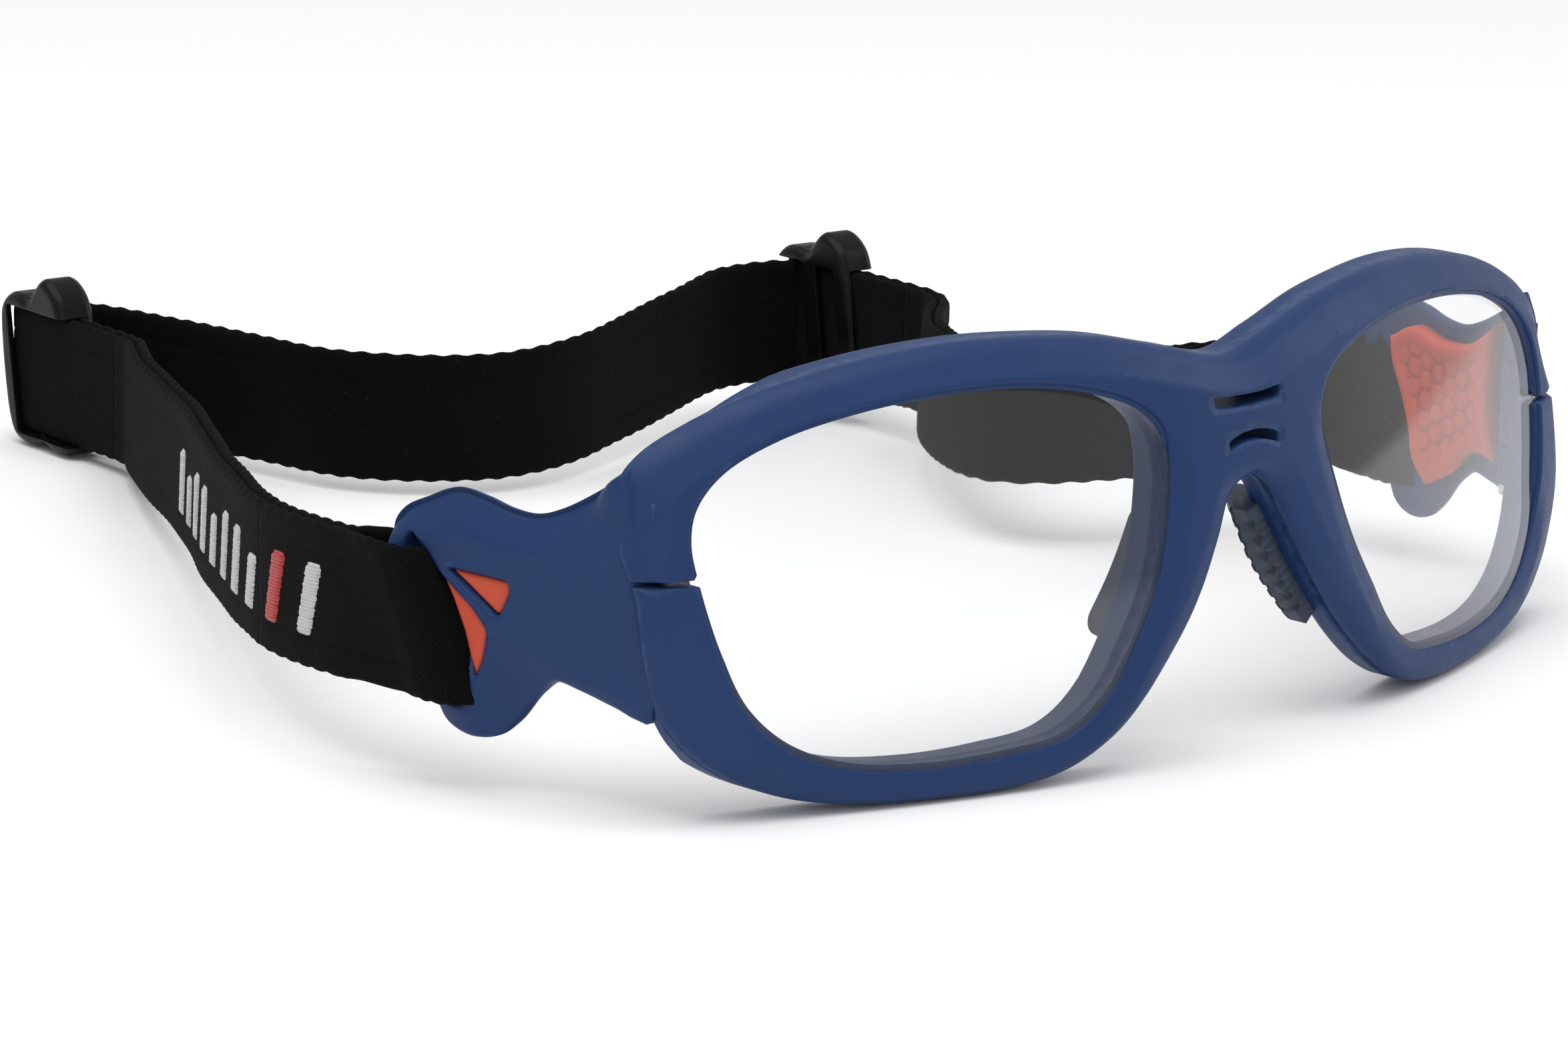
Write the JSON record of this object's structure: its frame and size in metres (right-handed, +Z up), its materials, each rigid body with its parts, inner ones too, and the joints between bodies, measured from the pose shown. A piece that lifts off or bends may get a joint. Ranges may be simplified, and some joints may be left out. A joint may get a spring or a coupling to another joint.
{
  "type": "sports protective goggles",
  "caption": "Wrap-front sports protective goggles with clear lenses, hinged padded side plates and an adjustable elastic head strap.",
  "frame": {"origin": "centre of the bounding box in plan, on the surface that the rims and the strap sliders stand on", "axes": "+Z up, +X towards the wearer's left, the goggles face -Y and the strap runs back along +Y"},
  "size_m": [0.1478, 0.182, 0.0412],
  "materials": {
    "frame_navy": "satin moulded",
    "lens_clear": "clear polished polycarbonate",
    "pad_orange": "soft matt rubber",
    "nose_rubber": "soft matt rubber",
    "webbing_black": "woven elastic",
    "slider_black": "moulded nylon",
    "screw_steel": "plated",
    "insert_brass": "turned"
  },
  "bodies": {
    "front": {"front_frame": "frame_navy", "hinge_screws": "screw_steel", "hinge_inserts": "insert_brass", "lens_right": "lens_clear", "lens_left": "lens_clear", "nose_pad_right": "nose_rubber", "nose_pad_left": "nose_rubber"},
    "side_right": {"side_plate_right": "frame_navy", "side_pad_right": "pad_orange", "strap_loop_right": "webbing_black"},
    "strap_front_right": {"side_strap_front_right": "webbing_black"},
    "strap_rear_right": {"side_strap_rear_right": "webbing_black"},
    "slider_right": {"strap_slider_right": "slider_black"},
    "side_left": {"side_plate_left": "frame_navy", "side_pad_left": "pad_orange", "strap_loop_left": "webbing_black"},
    "strap_front_left": {"side_strap_front_left": "webbing_black"},
    "strap_rear_left": {"side_strap_rear_left": "webbing_black"},
    "slider_left": {"strap_slider_left": "slider_black"},
    "strap_back": {"back_strap": "webbing_black"}
  },
  "joints": [
    {"name": "right_side_fold", "type": "hinge", "parent": "front", "child": "side_right", "pos_m": [-0.06253, -0.06982, 0.01502], "axis": [0, 0, -1], "range_deg": [0, 70], "deforming": ["side_strap_front_right", "side_strap_rear_right", "back_strap"]},
    {"name": "left_side_fold", "type": "hinge", "parent": "front", "child": "side_left", "pos_m": [0.06146, -0.06982, 0.01502], "axis": [0, 0, 1], "range_deg": [0, 70], "deforming": ["side_strap_front_left", "side_strap_rear_left", "back_strap"]},
    {"name": "right_strap_swing", "type": "hinge", "parent": "side_right", "child": "strap_front_right", "pos_m": [-0.07093, -0.04072, 0.01502], "axis": [0, 0, 1], "range_deg": [0, 89.01]},
    {"name": "right_strap_bend", "type": "hinge", "parent": "strap_front_right", "child": "strap_rear_right", "pos_m": [-0.05708, -0.00592, 0.01502], "axis": [0, 0, 1], "range_deg": [-6.76, 0]},
    {"name": "left_strap_swing", "type": "hinge", "parent": "side_left", "child": "strap_front_left", "pos_m": [0.06982, -0.04072, 0.01502], "axis": [0, 0, 1], "range_deg": [-118.23, 0]},
    {"name": "left_strap_bend", "type": "hinge", "parent": "strap_front_left", "child": "strap_rear_left", "pos_m": [0.04016, -0.01777, 0.01502], "axis": [0, 0, 1], "range_deg": [0, 42.52]},
    {"name": "right_slider_slide", "type": "slide", "parent": "strap_rear_right", "child": "slider_right", "axis": [-0.13, -0.9915, 0], "range_m": [0, 0.005], "deforming": ["side_strap_rear_right", "side_strap_rear_left", "back_strap"]},
    {"name": "left_slider_slide", "type": "slide", "parent": "strap_rear_left", "child": "slider_left", "axis": [-0.13, -0.9915, 0], "range_m": [0, 0.005], "deforming": ["side_strap_rear_right", "side_strap_rear_left", "back_strap"]},
    {"name": "back_strap_pivot", "type": "hinge", "parent": "slider_right", "child": "strap_back", "pos_m": [-0.00644, 0.08655, 0.01502], "axis": [0, 0, 1], "range_deg": [-12.25, 0]}
  ],
  "couplings": [
    {"joint": "right_strap_swing", "follows": "right_side_fold", "ratio": 1.2716},
    {"joint": "right_strap_bend", "follows": "right_side_fold", "ratio": -0.096529},
    {"joint": "back_strap_pivot", "follows": "right_side_fold", "ratio": -0.17504},
    {"joint": "left_strap_swing", "follows": "left_side_fold", "ratio": -1.689},
    {"joint": "left_strap_bend", "follows": "left_side_fold", "ratio": 0.60746},
    {"joint": "left_slider_slide", "follows": "right_slider_slide", "ratio": 1}
  ]
}
